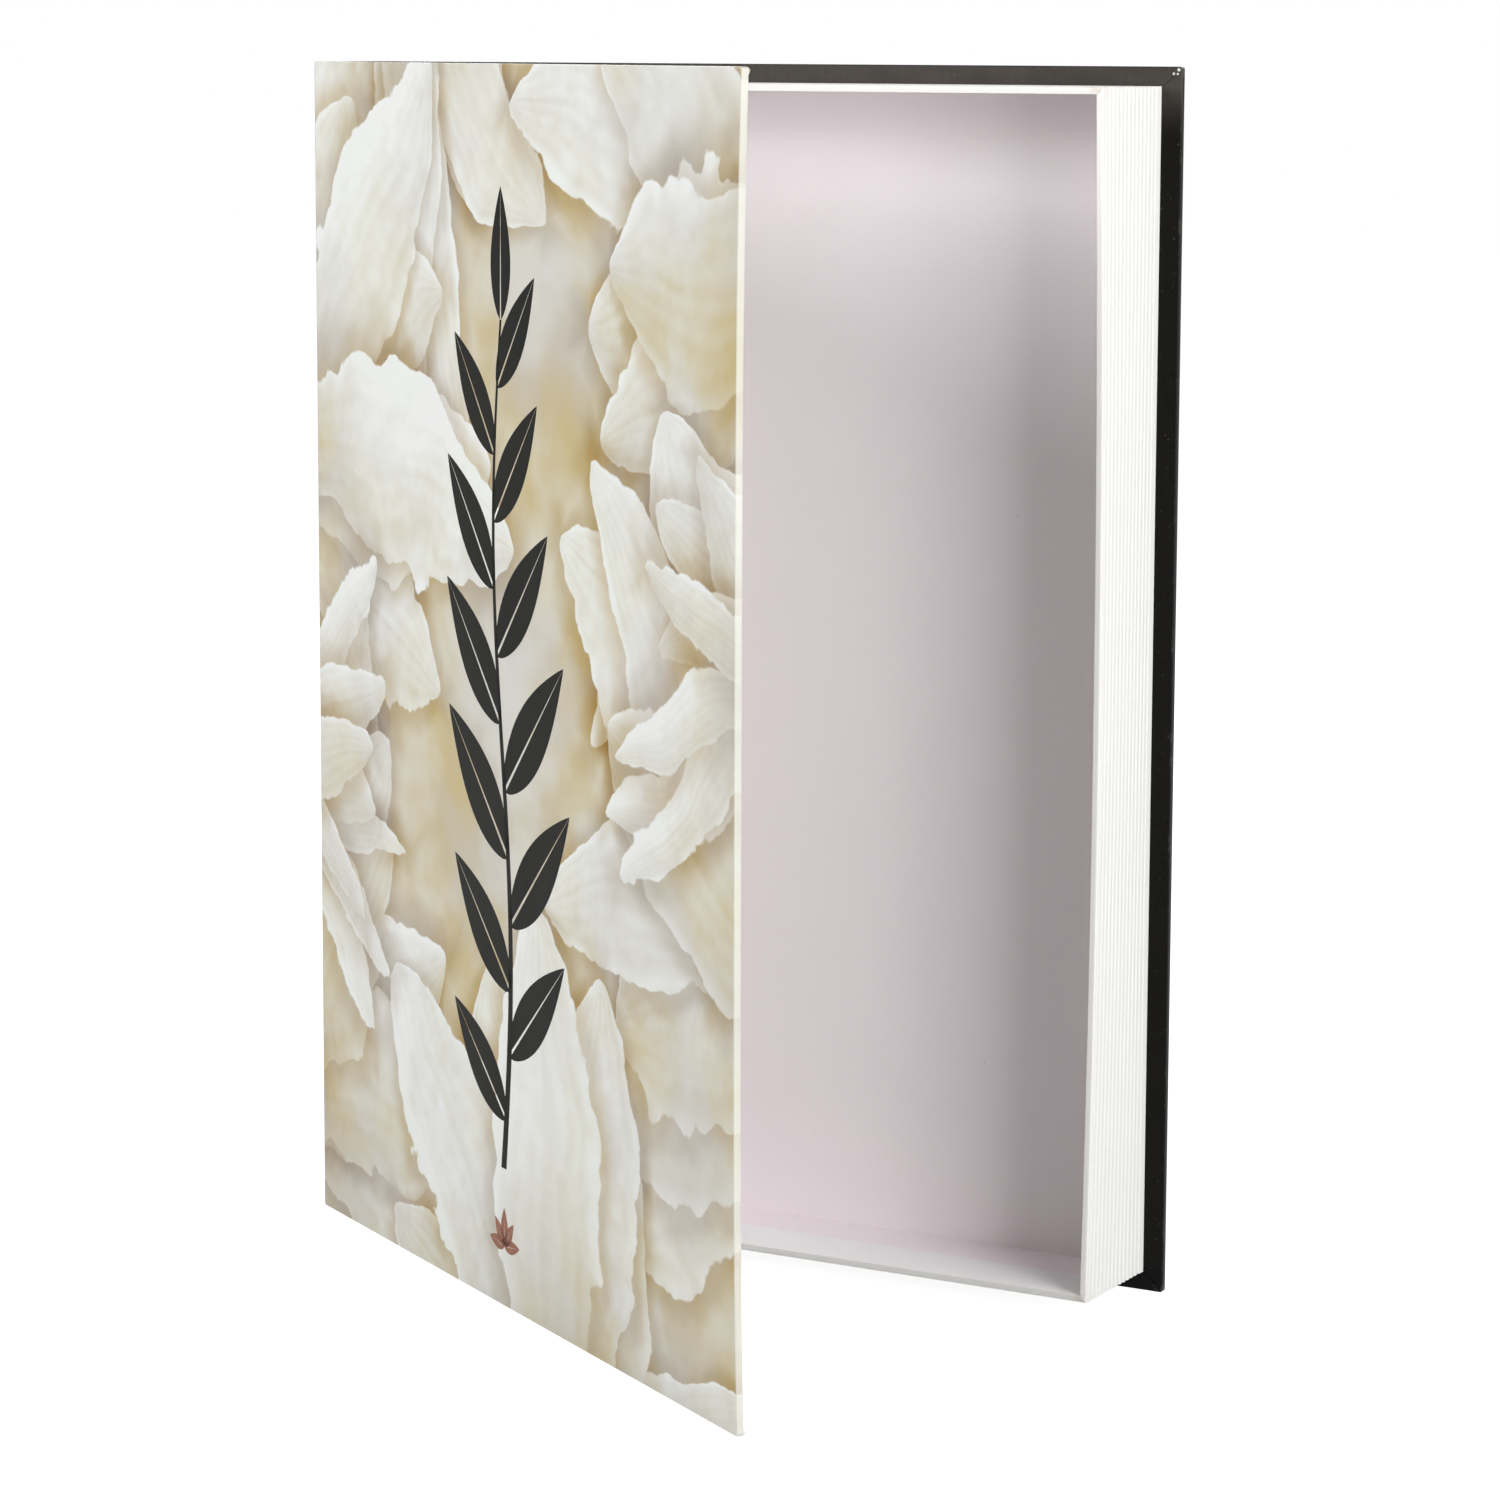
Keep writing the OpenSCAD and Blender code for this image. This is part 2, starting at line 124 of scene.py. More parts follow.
def cover_shift(sizes, u, z):
    """How far a point of the warped front cover lies outside the flat one."""
    height = min(abs(2 * z / BOOK_H - 1), 1.0)
    return sizes.warp * (1 - height ** 4) * max(u / BOOK_W, 0.0) ** 2


class BookBoxSizes(PropertyGroup):
    bow: FloatProperty(
        name="Wall bow", description="How far the fore-edge wall's rim bows outwards at mid-height",
        default=1.7 * MM, min=0, max=4 * MM, unit="LENGTH")
    bow_steps: IntProperty(
        name="Bow steps", description="Cross cuts along the bowed wall", default=28, min=8, max=80)
    warp: FloatProperty(
        name="Cover warp", description="How far the front cover's fore edge bows outwards at mid-height",
        default=1.35 * MM, min=0, max=3 * MM, unit="LENGTH")
    warp_steps: IntProperty(
        name="Warp steps", description="Cross cuts along the warped cover", default=56, min=16, max=120)
    leaf_count: IntProperty(
        name="Leaves", description="Leaves on the printed sprig", default=13, min=5, max=21)
    leaf_length: FloatProperty(
        name="Leaf length", description="Length of the longest printed leaf",
        default=54 * MM, min=15 * MM, max=60 * MM, unit="LENGTH")
    ink_t: FloatProperty(
        name="Ink", description="Thickness of the printed ornament's ink film",
        default=0.012 * MM, min=0.005 * MM, max=0.1 * MM, unit="LENGTH")


class BookBoxColours(PropertyGroup):
    ivory: FloatVectorProperty(
        name="Ivory", description="Lightest tone of the print", default=(0.895, 0.912, 0.884),
        subtype="COLOR", min=0, max=1)
    cream: FloatVectorProperty(
        name="Cream", description="Middle tone of the print", default=(0.712, 0.687, 0.594),
        subtype="COLOR", min=0, max=1)
    beige: FloatVectorProperty(
        name="Beige", description="Shaded tone of the print", default=(0.597, 0.515, 0.345),
        subtype="COLOR", min=0, max=1)
    umber: FloatVectorProperty(
        name="Umber", description="Deepest tone of the print", default=(0.42, 0.32, 0.19),
        subtype="COLOR", min=0, max=1)
    black: FloatVectorProperty(
        name="Black", description="Laminate of the spine and the back cover",
        default=(0.0045, 0.0042, 0.0038), subtype="COLOR", min=0, max=1)
    page_white: FloatVectorProperty(
        name="Page white", description="Ribbed paper round the tray", default=(0.86, 0.855, 0.83),
        subtype="COLOR", min=0, max=1)
    lilac: FloatVectorProperty(
        name="Lilac white", description="Sheet on the tray's floor", default=(0.925, 0.862, 0.887),
        subtype="COLOR", min=0, max=1)
    lining: FloatVectorProperty(
        name="Lining white", description="Lining papers of the cover and the joint",
        default=(0.80, 0.79, 0.765), subtype="COLOR", min=0, max=1)
    greyboard: FloatVectorProperty(
        name="Greyboard", description="Board inside the case and the tray", default=(0.36, 0.31, 0.24),
        subtype="COLOR", min=0, max=1)
    kraft: FloatVectorProperty(
        name="Kraft", description="Paper tape on the tray's corners", default=(0.46, 0.30, 0.16),
        subtype="COLOR", min=0, max=1)
    ink: FloatVectorProperty(
        name="Ink", description="Printed sprig", default=(0.0075, 0.0072, 0.0058),
        subtype="COLOR", min=0, max=1)
    russet: FloatVectorProperty(
        name="Russet", description="Small printed mark", default=(0.33, 0.15, 0.10),
        subtype="COLOR", min=0, max=1)


class Graph:
    """A node tree written as expressions: each call adds one node and returns an output of it."""

    def __init__(self, tree):
        self.tree = tree
        self.count = 0

    def put(self, kind, ins, out=0, **settings):
        """Adds a node with its settings, links or sets its inputs, and returns one of its outputs."""
        node = self.tree.nodes.new(kind)
        node.location = (180 * (self.count // 8), -160 * (self.count % 8))
        self.count += 1
        for name, value in settings.items():
            setattr(node, name, value)
        for name, value in ins.items():
            if isinstance(value, bpy.types.NodeSocket):
                self.tree.links.new(value, node.inputs[name])
            else:
                node.inputs[name].default_value = value
        return node.outputs[out]

    def math(self, operation, a, b=0.0, c=0.0):
        return self.put("ShaderNodeMath", {0: a, 1: b, 2: c}, operation=operation)

    def add(self, a, b):
        return self.math("ADD", a, b)

    def sub(self, a, b):
        return self.math("SUBTRACT", a, b)

    def mul(self, a, b):
        return self.math("MULTIPLY", a, b)

    def mad(self, a, b, c):
        """a times b, plus c."""
        return self.math("MULTIPLY_ADD", a, b, c)

    def step(self, value, low, high, to_low=0.0, to_high=1.0):
        """A smooth step from to_low to to_high as value goes from low to high."""
        return self.put("ShaderNodeMapRange", {
            "Value": value, "From Min": low, "From Max": high, "To Min": to_low, "To Max": to_high,
        }, interpolation_type="SMOOTHSTEP")

    def vector(self, operation, a, b=(0, 0, 0)):
        return self.put("ShaderNodeVectorMath", {0: a, 1: b}, operation=operation)

    def scaled(self, vector, factor):
        return self.put("ShaderNodeVectorMath", {"Vector": vector, "Scale": factor}, operation="SCALE")

    def dot(self, a, b):
        return self.put("ShaderNodeVectorMath", {0: a, 1: b}, out="Value", operation="DOT_PRODUCT")

    def distance(self, a, b):
        return self.put("ShaderNodeVectorMath", {0: a, 1: b}, out="Value", operation="DISTANCE")

    def split(self, vector):
        node = self.put("ShaderNodeSeparateXYZ", {"Vector": vector}).node
        return node.outputs[0], node.outputs[1], node.outputs[2]

    def join(self, x, y, z):
        return self.put("ShaderNodeCombineXYZ", {"X": x, "Y": y, "Z": z})

    def noise(self, vector, scale, detail, roughness=0.5):
        return self.put("ShaderNodeTexNoise", {
            "Vector": vector, "Scale": scale, "Detail": detail, "Roughness": roughness})

    def mix(self, factor, a, b, blend="MIX"):
        """A mix of two colours. The node keeps those on its inputs 6 and 7, and its colour on output 2."""
        return self.put("ShaderNodeMix", {0: factor, 6: a, 7: b}, out=2, data_type="RGBA", blend_type=blend)

    def group(self, tree, ins):
        """Places a shared group and returns its outputs by name."""
        node = self.put("ShaderNodeGroup", ins, node_tree=tree).node
        return {o.name: o for o in node.outputs}


def new_group(name, inputs, outputs):
    """A shader node group with named sockets: its graph, its inputs by name and its output node."""
    tree = bpy.data.node_groups.new(name, "ShaderNodeTree")
    for label, kind in inputs.items():
        tree.interface.new_socket(label, in_out="INPUT", socket_type="NodeSocket" + kind)
    for label, kind in outputs.items():
        tree.interface.new_socket(label, in_out="OUTPUT", socket_type="NodeSocket" + kind)
    graph = Graph(tree)
    source = tree.nodes.new("NodeGroupInput")
    sink = tree.nodes.new("NodeGroupOutput")
    sink.location = (2400, 0)
    return graph, {o.name: o for o in source.outputs if o.name}, sink


def shared(name, build):
    """A node group that is built once and then used by name."""
    return bpy.data.node_groups.get(name) or build(name)


def stock(name, build):
    """A material that is built once and then used by name."""
    return bpy.data.materials.get(name) or build(name)


def paper_tooth(name):
    """Fibres and tooth of an uncoated paper or board: a shade round 1 and a height."""
    g, i, out = new_group(name, {"Position": "Vector", "Size": "Float", "Contrast": "Float"},
                          {"Shade": "Float", "Height": "Float"})
    place = g.scaled(i["Position"], g.math("DIVIDE", 1.0, i["Size"]))
    tooth = g.noise(place, 1.0, 3.0, 0.6)
    fibre = g.noise(g.vector("MULTIPLY", place, (0.35, 0.35, 1.6)), 1.7, 2.0, 0.7)
    cloud = g.noise(i["Position"], 34.0, 3.0)
    both = g.add(g.mul(tooth, 0.6), g.mul(fibre, 0.4))
    shade = g.mad(g.sub(both, 0.5), i["Contrast"], 1.0)
    shade = g.mul(shade, g.mad(g.sub(cloud, 0.5), g.mul(i["Contrast"], 0.5), 1.0))
    g.tree.links.new(shade, out.inputs["Shade"])
    g.tree.links.new(both, out.inputs["Height"])
    return g.tree


def laminate_skin(name):
    """The gloss film over a print: its roughness with smears, and the height of its orange peel."""
    g, i, out = new_group(name, {"Position": "Vector", "Gloss": "Float"},
                          {"Roughness": "Float", "Height": "Float", "Dust": "Float"})
    peel = g.noise(i["Position"], 520.0, 2.0)
    wave = g.noise(i["Position"], 42.0, 2.0)
    smear = g.noise(g.vector("MULTIPLY", i["Position"], (1.0, 1.0, 0.35)), 26.0, 4.0, 0.62)
    smear = g.step(smear, 0.42, 0.72, 0.0, 0.09)
    specks = g.noise(i["Position"], 1500.0, 1.0)
    dust = g.step(specks, 0.74, 0.80)
    rough = g.add(g.sub(1.0, i["Gloss"]), smear)
    g.tree.links.new(g.mad(dust, 0.2, rough), out.inputs["Roughness"])
    g.tree.links.new(g.mad(wave, 2.6, g.mul(peel, 0.5)), out.inputs["Height"])
    g.tree.links.new(dust, out.inputs["Dust"])
    return g.tree


def edge_rub(name):
    """Rubbed paper along the outline of a board: 1 at the low and high edges, broken up by noise."""
    g, i, out = new_group(name, {"Position": "Vector", "Low": "Vector", "High": "Vector", "Reach": "Float"},
                          {"Mask": "Float"})
    above = g.split(g.vector("SUBTRACT", i["Position"], i["Low"]))
    below = g.split(g.vector("SUBTRACT", i["High"], i["Position"]))
    across = g.math("MINIMUM", above[0], below[0])
    along = g.math("MINIMUM", above[2], below[2])
    nearest = g.math("MINIMUM", across, along)
    corner = g.add(g.math("MAXIMUM", across, 0.0), g.math("MAXIMUM", along, 0.0))
    scuff = g.noise(i["Position"], 160.0, 4.0, 0.65)
    line = g.step(g.math("DIVIDE", nearest, i["Reach"]), 1.0, 0.0)
    at_corner = g.step(g.math("DIVIDE", corner, g.mul(i["Reach"], 6.0)), 1.0, 0.0)
    worn = g.step(g.mad(at_corner, 0.35, scuff), 0.52, 0.78)
    g.tree.links.new(g.mul(line, worn), out.inputs["Mask"])
    return g.tree


def object_place(g):
    """Object coordinates, which are the row frame's own, in metres."""
    return g.put("ShaderNodeTexCoord", {}, out="Object")


def cover_place(g):
    """Object coordinates turned into the front cover's own measures, in metres."""
    turned = g.put("ShaderNodeMapping", {
        "Vector": object_place(g), "Location": FOLD, "Rotation": Euler((0, 0, -OPEN)),
    }, vector_type="TEXTURE")
    return g.vector("ADD", turned, (PAPER_T / 2, PAPER_T / 2, 0))


def new_material(name, roughness=0.5, **sockets):
    """A material with one Principled BSDF, whose constant values are set on its own sockets."""
    material = bpy.data.materials.new(name)
    material.use_nodes = True
    shader = material.node_tree.nodes["Principled BSDF"]
    shader.inputs["Roughness"].default_value = roughness
    for label, value in sockets.items():
        shader.inputs[label.replace("_", " ")].default_value = value
    return material, Graph(material.node_tree), shader


def wire(g, shader, colour, height, bump, distance, roughness=None):
    """Feeds the Principled BSDF's varying sockets."""
    g.tree.links.new(colour, shader.inputs["Base Color"])
    if roughness is not None:
        g.tree.links.new(roughness, shader.inputs["Roughness"])
    normal = g.put("ShaderNodeBump", {"Strength": bump, "Distance": distance, "Height": height})
    g.tree.links.new(normal, shader.inputs["Normal"])


def rgba(colour):
    """A colour of three parts with its full opacity added."""
    return (*colour, 1.0)


def shaded(g, colour, shade):
    """A constant colour times a varying shade."""
    return g.mix(1.0, rgba(colour), g.join(shade, shade, shade), blend="MULTIPLY")


# The print's fans of leaves, back to front: root as shares of the cover, first and last angle in
# degrees, number of leaves, length and half width in metres
FANS = [
    ((0.20, 1.16), (228, 322), 6, 0.155, 0.027),
    ((1.16, 0.86), (148, 238), 7, 0.160, 0.027),
    ((-0.20, 0.66), (-52, 50), 8, 0.165, 0.026),
    ((1.22, 0.34), (120, 216), 8, 0.170, 0.028),
    ((-0.16, 0.10), (-6, 84), 7, 0.165, 0.027),
    ((0.62, -0.16), (52, 138), 7, 0.160, 0.027),
    ((-0.14, 0.40), (-46, 30), 8, 0.098, 0.0105),
    ((1.14, 0.56), (146, 212), 7, 0.104, 0.0110),
]
LIGHT_FROM = Vector((-0.55, 0.83))

# What makes a printed leaf lighter or darker, on a scale of tone from 0 (umber) to 1 (ivory)
LIT_SIDE, DEEP_ROOT, PALE_EDGE, MIDRIB = 0.17, -0.58, 0.14, -0.05
VEINS, FOLDS, SWELLS, RUFFLES = 0.022, 0.06, 0.22, 0.20

# How a leaf's edge swells, as a share of its width, and ruffles; its lift over the leaves under it
EDGE_SWELL, EDGE_RUFFLE, LEAF_LIFT = 0.75, 3.8 * MM, 0.2 * MM

# The shadow round a leaf: how far it reaches, how deep it is, and what it leaves of the tone under it
SHADOW_REACH, SHADOW_DEPTH, SHADOW_TINT = 12 * MM, 0.62, (0.66, 0.55, 0.40, 1)


def broad_leaf(name):
    """One broad pale leaf laid over what is under it: ruffled outline, cupped shading and a soft shadow."""
    tones = bpy.context.scene.book_box_colours
    g, i, out = new_group(
        name,
        {"Position": "Vector", "Swell": "Vector", "Ruffle": "Vector", "Under": "Color", "Root": "Vector",
         "Angle": "Float", "Length": "Float", "Width": "Float", "Bend": "Float", "Light": "Float",
         "Tone": "Float", "Blend": "Vector"},
        {"Color": "Color"})
    # The leaves under this one lift it a little. Each place, swell and ruffle takes that in, so that Cycles
    # works out one leaf at a time: all at once, a print of this many leaves renders black
    relief = g.scaled(i["Under"], LEAF_LIFT)
    laid = g.vector("ADD", i["Position"], relief)
    local = g.put("ShaderNodeVectorRotate", {
        "Vector": g.vector("SUBTRACT", laid, i["Root"]), "Angle": g.mul(i["Angle"], -1.0),
    }, rotation_type="Z_AXIS")
    along, across, _ = g.split(local)
    share = g.math("DIVIDE", along, i["Length"])
    inside = g.math("MINIMUM", g.math("MAXIMUM", share, 0.0), 1.0)
    across = g.sub(across, g.mul(g.mul(i["Bend"], along), inside))
    wave = g.dot(g.vector("ADD", i["Swell"], relief), i["Blend"])
    crimp = g.dot(g.vector("ADD", i["Ruffle"], relief), i["Blend"])

    # Its outline: half its width at each point along it, and how far inside the edge a point lies
    outline = g.math("SINE", g.mul(g.math("POWER", inside, 1.35), math.pi))
    outline = g.math("POWER", g.math("MAXIMUM", outline, 0.0), 0.66)
    half = g.mul(g.mul(i["Width"], outline), g.mad(wave, EDGE_SWELL, 1.0))
    half = g.mad(crimp, EDGE_RUFFLE, half)
    beyond = g.math("MAXIMUM", g.sub(along, i["Length"]), g.mul(along, -1.0))
    edge = g.math("MINIMUM", g.sub(half, g.math("ABSOLUTE", across)), g.mul(beyond, -1.0))

    # Its tone: lit from one side, deep at the root, with veins, folds, a pale edge and a faint midrib
    side = g.math("DIVIDE", across, g.math("MAXIMUM", half, 0.1 * MM))
    side = g.math("MAXIMUM", g.math("MINIMUM", side, 1.0), -1.0)
    rim = g.math("ABSOLUTE", side)
    worn = g.mul(rim, rim)
    vein = g.math("SINE", g.mad(side, 21.0, g.mul(wave, 9.0)))
    fold = g.math("SINE", g.mad(wave, 16.0, g.mul(along, 75.0)))
    tone = g.mad(g.mul(side, i["Light"]), LIT_SIDE, i["Tone"])
    tone = g.add(tone, g.step(inside, 0.66, 0.02, 0.0, DEEP_ROOT))
    tone = g.add(tone, g.mad(vein, VEINS, g.mul(g.mul(fold, worn), FOLDS)))
    tone = g.add(tone, g.mad(wave, SWELLS, g.mul(crimp, RUFFLES)))
    tone = g.add(tone, g.step(rim, 0.72, 1.0, 0.0, PALE_EDGE))
    tone = g.add(tone, g.step(rim, 0.10, 0.0, 0.0, MIDRIB))
    ramp = g.put("ShaderNodeValToRGB", {"Fac": tone})
    stops = ramp.node.color_ramp.elements
    stops[0].position, stops[0].color = 0.0, rgba(tones.umber)
    stops[1].position, stops[1].color = 1.0, rgba(tones.ivory)
    for position, colour in ((0.34, tones.beige), (0.66, tones.cream)):
        stops.new(position).color = rgba(colour)
    shadow = g.step(edge, -SHADOW_REACH, 0.0, 0.0, SHADOW_DEPTH)
    under = g.mix(shadow, i["Under"], SHADOW_TINT, blend="MULTIPLY")
    cover = g.step(edge, -0.25 * MM, 0.55 * MM)
    g.tree.links.new(g.mix(cover, under, ramp), out.inputs["Color"])
    return g.tree


def centred_noise(g, vector, scale, detail):
    """Three noises at once, each between -0.5 and 0.5."""
    colour = g.put("ShaderNodeTexNoise", {"Vector": vector, "Scale": scale, "Detail": detail}, out="Color")
    return g.vector("SUBTRACT", colour, (0.5, 0.5, 0.5))


def leaf_print(g, place):
    """The covering paper's picture: fans of broad pale leaves over a beige ground."""
    tones = bpy.context.scene.book_box_colours
    tree = shared("BroadLeaf", broad_leaf)
    u, _, z = g.split(place)
    flat = g.join(u, z, 0.0)
    drift = centred_noise(g, flat, 12.0, 2.0)
    warp = g.vector("ADD", flat, g.vector("MULTIPLY", drift, (0.030, 0.030, 0.0)))
    swell = centred_noise(g, warp, 34.0, 2.0)
    ruffle = centred_noise(g, warp, 150.0, 2.2)
    ground = g.step(g.noise(warp, 26.0, 3.0), 0.35, 0.65)
    colour = g.mix(ground, rgba(tones.beige), rgba(tones.cream))
    for fan, (root, (first, last), count, length, width) in enumerate(FANS):
        order = sorted(range(count), key=lambda k: abs(k - (count - 1) / 2), reverse=True)
        for k in order:
            angle = math.radians(first + (last - first) * k / (count - 1))
            cross = Vector((-math.sin(angle), math.cos(angle)))
            # Uneven steps, so that no two leaves are alike
            turn = math.sin(7.1 * k + 2.3 * fan)
            phase = 5.3 * k + 1.9 * fan
            colour = g.group(tree, {
                "Position": warp, "Swell": swell, "Ruffle": ruffle, "Under": colour,
                "Root": (root[0] * BOOK_W, root[1] * BOOK_H, 0.0),
                "Angle": angle + 0.10 * turn, "Length": length * (0.90 + 0.18 * turn),
                "Width": width * (1.0 + 0.18 * math.cos(phase)),
                "Bend": 0.30 * math.sin(3.7 * k + fan), "Light": cross.dot(LIGHT_FROM),
                "Tone": 0.80 + 0.10 * turn,
                "Blend": (math.sin(phase), math.cos(phase), math.sin(2.1 * phase)),
            })["Color"]
    warmth = g.step(g.noise(warp, 20.0, 2.0), 0.36, 0.64, 0.55, 1.42)
    return g.put("ShaderNodeHueSaturation", {"Saturation": warmth, "Color": colour})


def film(g, place, gloss):
    """The shared gloss film at a place: its roughness, height and dust."""
    return g.group(shared("LaminateSkin", laminate_skin), {"Position": place, "Gloss": gloss})


def rubbed_edges(g, place, high_x, reach):
    """The shared rub along a cover's head, tail and fore edge, and not along the spine."""
    return g.group(shared("EdgeRub", edge_rub), {
        "Position": place, "Low": (-1, 0, 0), "High": (high_x, 0, BOOK_H), "Reach": reach})["Mask"]


def fibres(g, place, size, contrast):
    """The shared fibres of uncoated paper or board at a place: their shade and height."""
    return g.group(shared("PaperTooth", paper_tooth), {
        "Position": place, "Size": size, "Contrast": contrast})


def print_laminate(name):
    """Glossy picture paper of the front cover, rubbed pale along its folded edges, with a flat tone and
    painted shade on the fold at the fore edge.
    """
    material, g, shader = new_material(name, Specular_IOR_Level=0.08)
    place = cover_place(g)
    picture = leaf_print(g, place)
    skin = film(g, place, COVER_GLOSS)
    rub = rubbed_edges(g, place, BOOK_W, 0.9 * MM)
    u, _, _ = g.split(place)
    # The fold at the fore edge: a flat pale tone of the turned paper, darkened by painted shade so that it
    # stays below white under the key light
    side = g.step(u, BOOK_W - 0.45 * MM, BOOK_W - 0.1 * MM, 0.0, 0.72)
    colour = g.mix(g.mul(rub, 0.5), picture, RUBBED_PRINT)
    colour = g.mix(side, colour, FOLD_TONE_AND_SHADE)
    roughness = g.mad(rub, 0.25, skin["Roughness"])
    wire(g, shader, colour, skin["Height"], 0.12, 0.08 * MM, roughness)
    return material


# Where painted glints stand on the back cover's corner pleat, at the head: in from the fore edge, down from
# the head, and size
PLEAT_GLINTS = [
    (0.75 * MM, 0.8 * MM, 0.62 * MM),
    (2.3 * MM, 1.9 * MM, 0.5 * MM),
    (1.1 * MM, 2.0 * MM, 0.42 * MM),
]


def black_laminate(name):
    """Black film of the spine and the back cover, with painted shade under the tray, a painted grey sheen
    where it is turned in at the head, and painted glints on its corner pleat.
    """
    tones = bpy.context.scene.book_box_colours
    material, g, shader = new_material(name, Specular_IOR_Level=0.08)
    place = object_place(g)
    x, y, z = g.split(place)
    skin = film(g, place, BLACK_GLOSS)
    rub = rubbed_edges(g, place, BACK_HIGH.x, 0.7 * MM)
    cloud = g.noise(place, 18.0, 3.0)
    colour = g.mix(g.mul(cloud, 0.30), rgba(tones.black), BLACK_CLOUD)

    # Long slanting scuffs, on the outer face only
    tilted = g.put("ShaderNodeMapping", {
        "Vector": place, "Rotation": Euler((0, 0.5, 0)), "Scale": (9.0, 60.0, 520.0)})
    lines = g.step(g.noise(tilted, 1.0, 2.0), 0.60, 0.72)
    scuffs = g.mul(lines, g.step(g.noise(place, 30.0, 2.0), 0.45, 0.65))
    outer = g.step(y, 0.0, 0.6 * MM, 0.0, 0.5)
    colour = g.mix(g.mul(scuffs, outer), colour, BLACK_SCUFF)

    # The turned-in paper gets painted shade under the tray and a painted grey sheen at the head
    turned_in = g.step(y, -0.2 * MM, -0.8 * MM)
    foot = g.mul(g.step(z, TRAY_LOW.z + 0.2 * MM, TRAY_LOW.z + 2.7 * MM, 0.8, 0.0), turned_in)
    colour = g.mix(foot, colour, BLACK_SHADED)
    colour = g.mix(g.mul(rub, 0.16), colour, BLACK_RUBBED)
    # Painted sheen at the head: weaker towards the fore edge and at the head's very edge, broken up by
    # noise
    head = g.mul(g.step(z, BOOK_H - 20 * MM, BOOK_H - 4 * MM), turned_in)
    head = g.mul(head, g.step(x, SPINE_LOW.x + 2 * MM, SPINE_LOW.x + 4 * MM))
    head = g.mul(head, g.step(x, 0.5 * BACK_HIGH.x, BACK_HIGH.x, 0.95, 0.74))
    head = g.mul(head, g.step(z, BOOK_H - 0.15 * MM, BOOK_H - 0.6 * MM, 0.15, 1.0))
    drawn_out = g.vector("MULTIPLY", place, (0.35, 1, 1))
    painted_sheen_haze = g.step(g.noise(drawn_out, 150.0, 2.0), 0.2, 0.7, 0.75, 1.0)
    colour = g.mix(g.mul(head, painted_sheen_haze), colour, BLACK_PAINTED_SHEEN)

    # Painted glints on the corner pleat
    for across, down, size in PLEAT_GLINTS:
        spot = (BACK_HIGH.x - across, BACK_LOW.y, BOOK_H - down)
        worn = g.step(g.distance(place, spot), size, 0.5 * size, 0.0, 0.85)
        colour = g.mix(worn, colour, BLACK_PAINTED_GLINT)
    colour = g.mix(g.mul(skin["Dust"], 0.25), colour, FILM_DUST)
    roughness = g.mad(rub, 0.2, skin["Roughness"])
    wire(g, shader, colour, skin["Height"], 0.16, 0.08 * MM, roughness)
    return material


def page_edge_paper(name):
    """White paper whose ribs stand for page edges: painted shade in the grooves, rubbed at the rim's
    corners.
    """
    tones = bpy.context.scene.book_box_colours
    material, g, shader = new_material(name, roughness=0.72, Specular_IOR_Level=0.35)
    place = object_place(g)
    tooth = fibres(g, place, 0.35 * MM, 0.05)
    x, y, z = g.split(place)

    # Which way a wall looks: away from the middle of the tray, or into it. The spine's side has no ribs
    facing = g.put("ShaderNodeTexCoord", {}, out="Normal")
    from_middle = g.vector("SUBTRACT", place, (0, 0, BOOK_H / 2))
    outwards = g.dot(facing, g.vector("MULTIPLY", from_middle, (1, 0, 1)))
    ribbed_side = g.math("GREATER_THAN", x, TRAY_LOW.x + 0.65 * MM)
    outside = g.mul(g.math("GREATER_THAN", outwards, 0.0), ribbed_side)
    inside = g.math("LESS_THAN", outwards, -0.02)

    # Painted shade in the grooves of the outer ribs, deepest in the first groove behind the rim
    pitch = (TRAY_HIGH.y - TRAY_LOW.y - RIB_FRONT - RIB_BACK) / (GROOVES - 1)
    turn = g.math("FRACT", g.math("DIVIDE", g.sub(y, TRAY_LOW.y + RIB_FRONT), pitch))
    near = g.mul(g.math("ABSOLUTE", g.sub(turn, 0.5)), 2.0)
    flat = g.step(y, TRAY_HIGH.y - RIB_BACK, TRAY_HIGH.y - RIB_BACK + 0.4 * MM, 1.0, 0.0)
    painted_groove_shade = g.mul(g.step(near, 0.5, 1.0), flat)
    first = g.math("ABSOLUTE", g.sub(y, TRAY_LOW.y + RIB_FRONT))
    painted_groove_shade = g.mul(g.add(painted_groove_shade, g.step(first, 0.4 * MM, 0.0, 0.0, 0.8)), outside)
    shade = g.mul(tooth["Shade"], g.mad(painted_groove_shade, -GROOVE_SHADE, 1.0))

    # The turned-in paper is a little bluer, and brightened by painted light on the tail wall
    lift = g.step(z, 0.02 * BOOK_H, 0.12 * BOOK_H, 1.065, 0.985)
    tint = g.mix(inside, (1, 1, 1, 1), g.join(lift, lift, g.mul(lift, 1.035)))
    colour = g.mix(1.0, shaded(g, tones.page_white, shade), tint, blend="MULTIPLY")
    for level in (TRAY_LOW.z, TRAY_HIGH.z):
        corner = (WALL_LOW.x, TRAY_LOW.y, level)
        close = g.step(g.distance(place, corner), 6 * MM, 0.5 * MM)
        worn = g.mul(close, g.step(g.noise(place, 420.0, 3.0), 0.40, 0.62))
        colour = g.mix(g.mul(worn, 0.55), colour, RIM_WORN)
    wire(g, shader, colour, tooth["Height"], 0.18, 0.05 * MM)
    return material


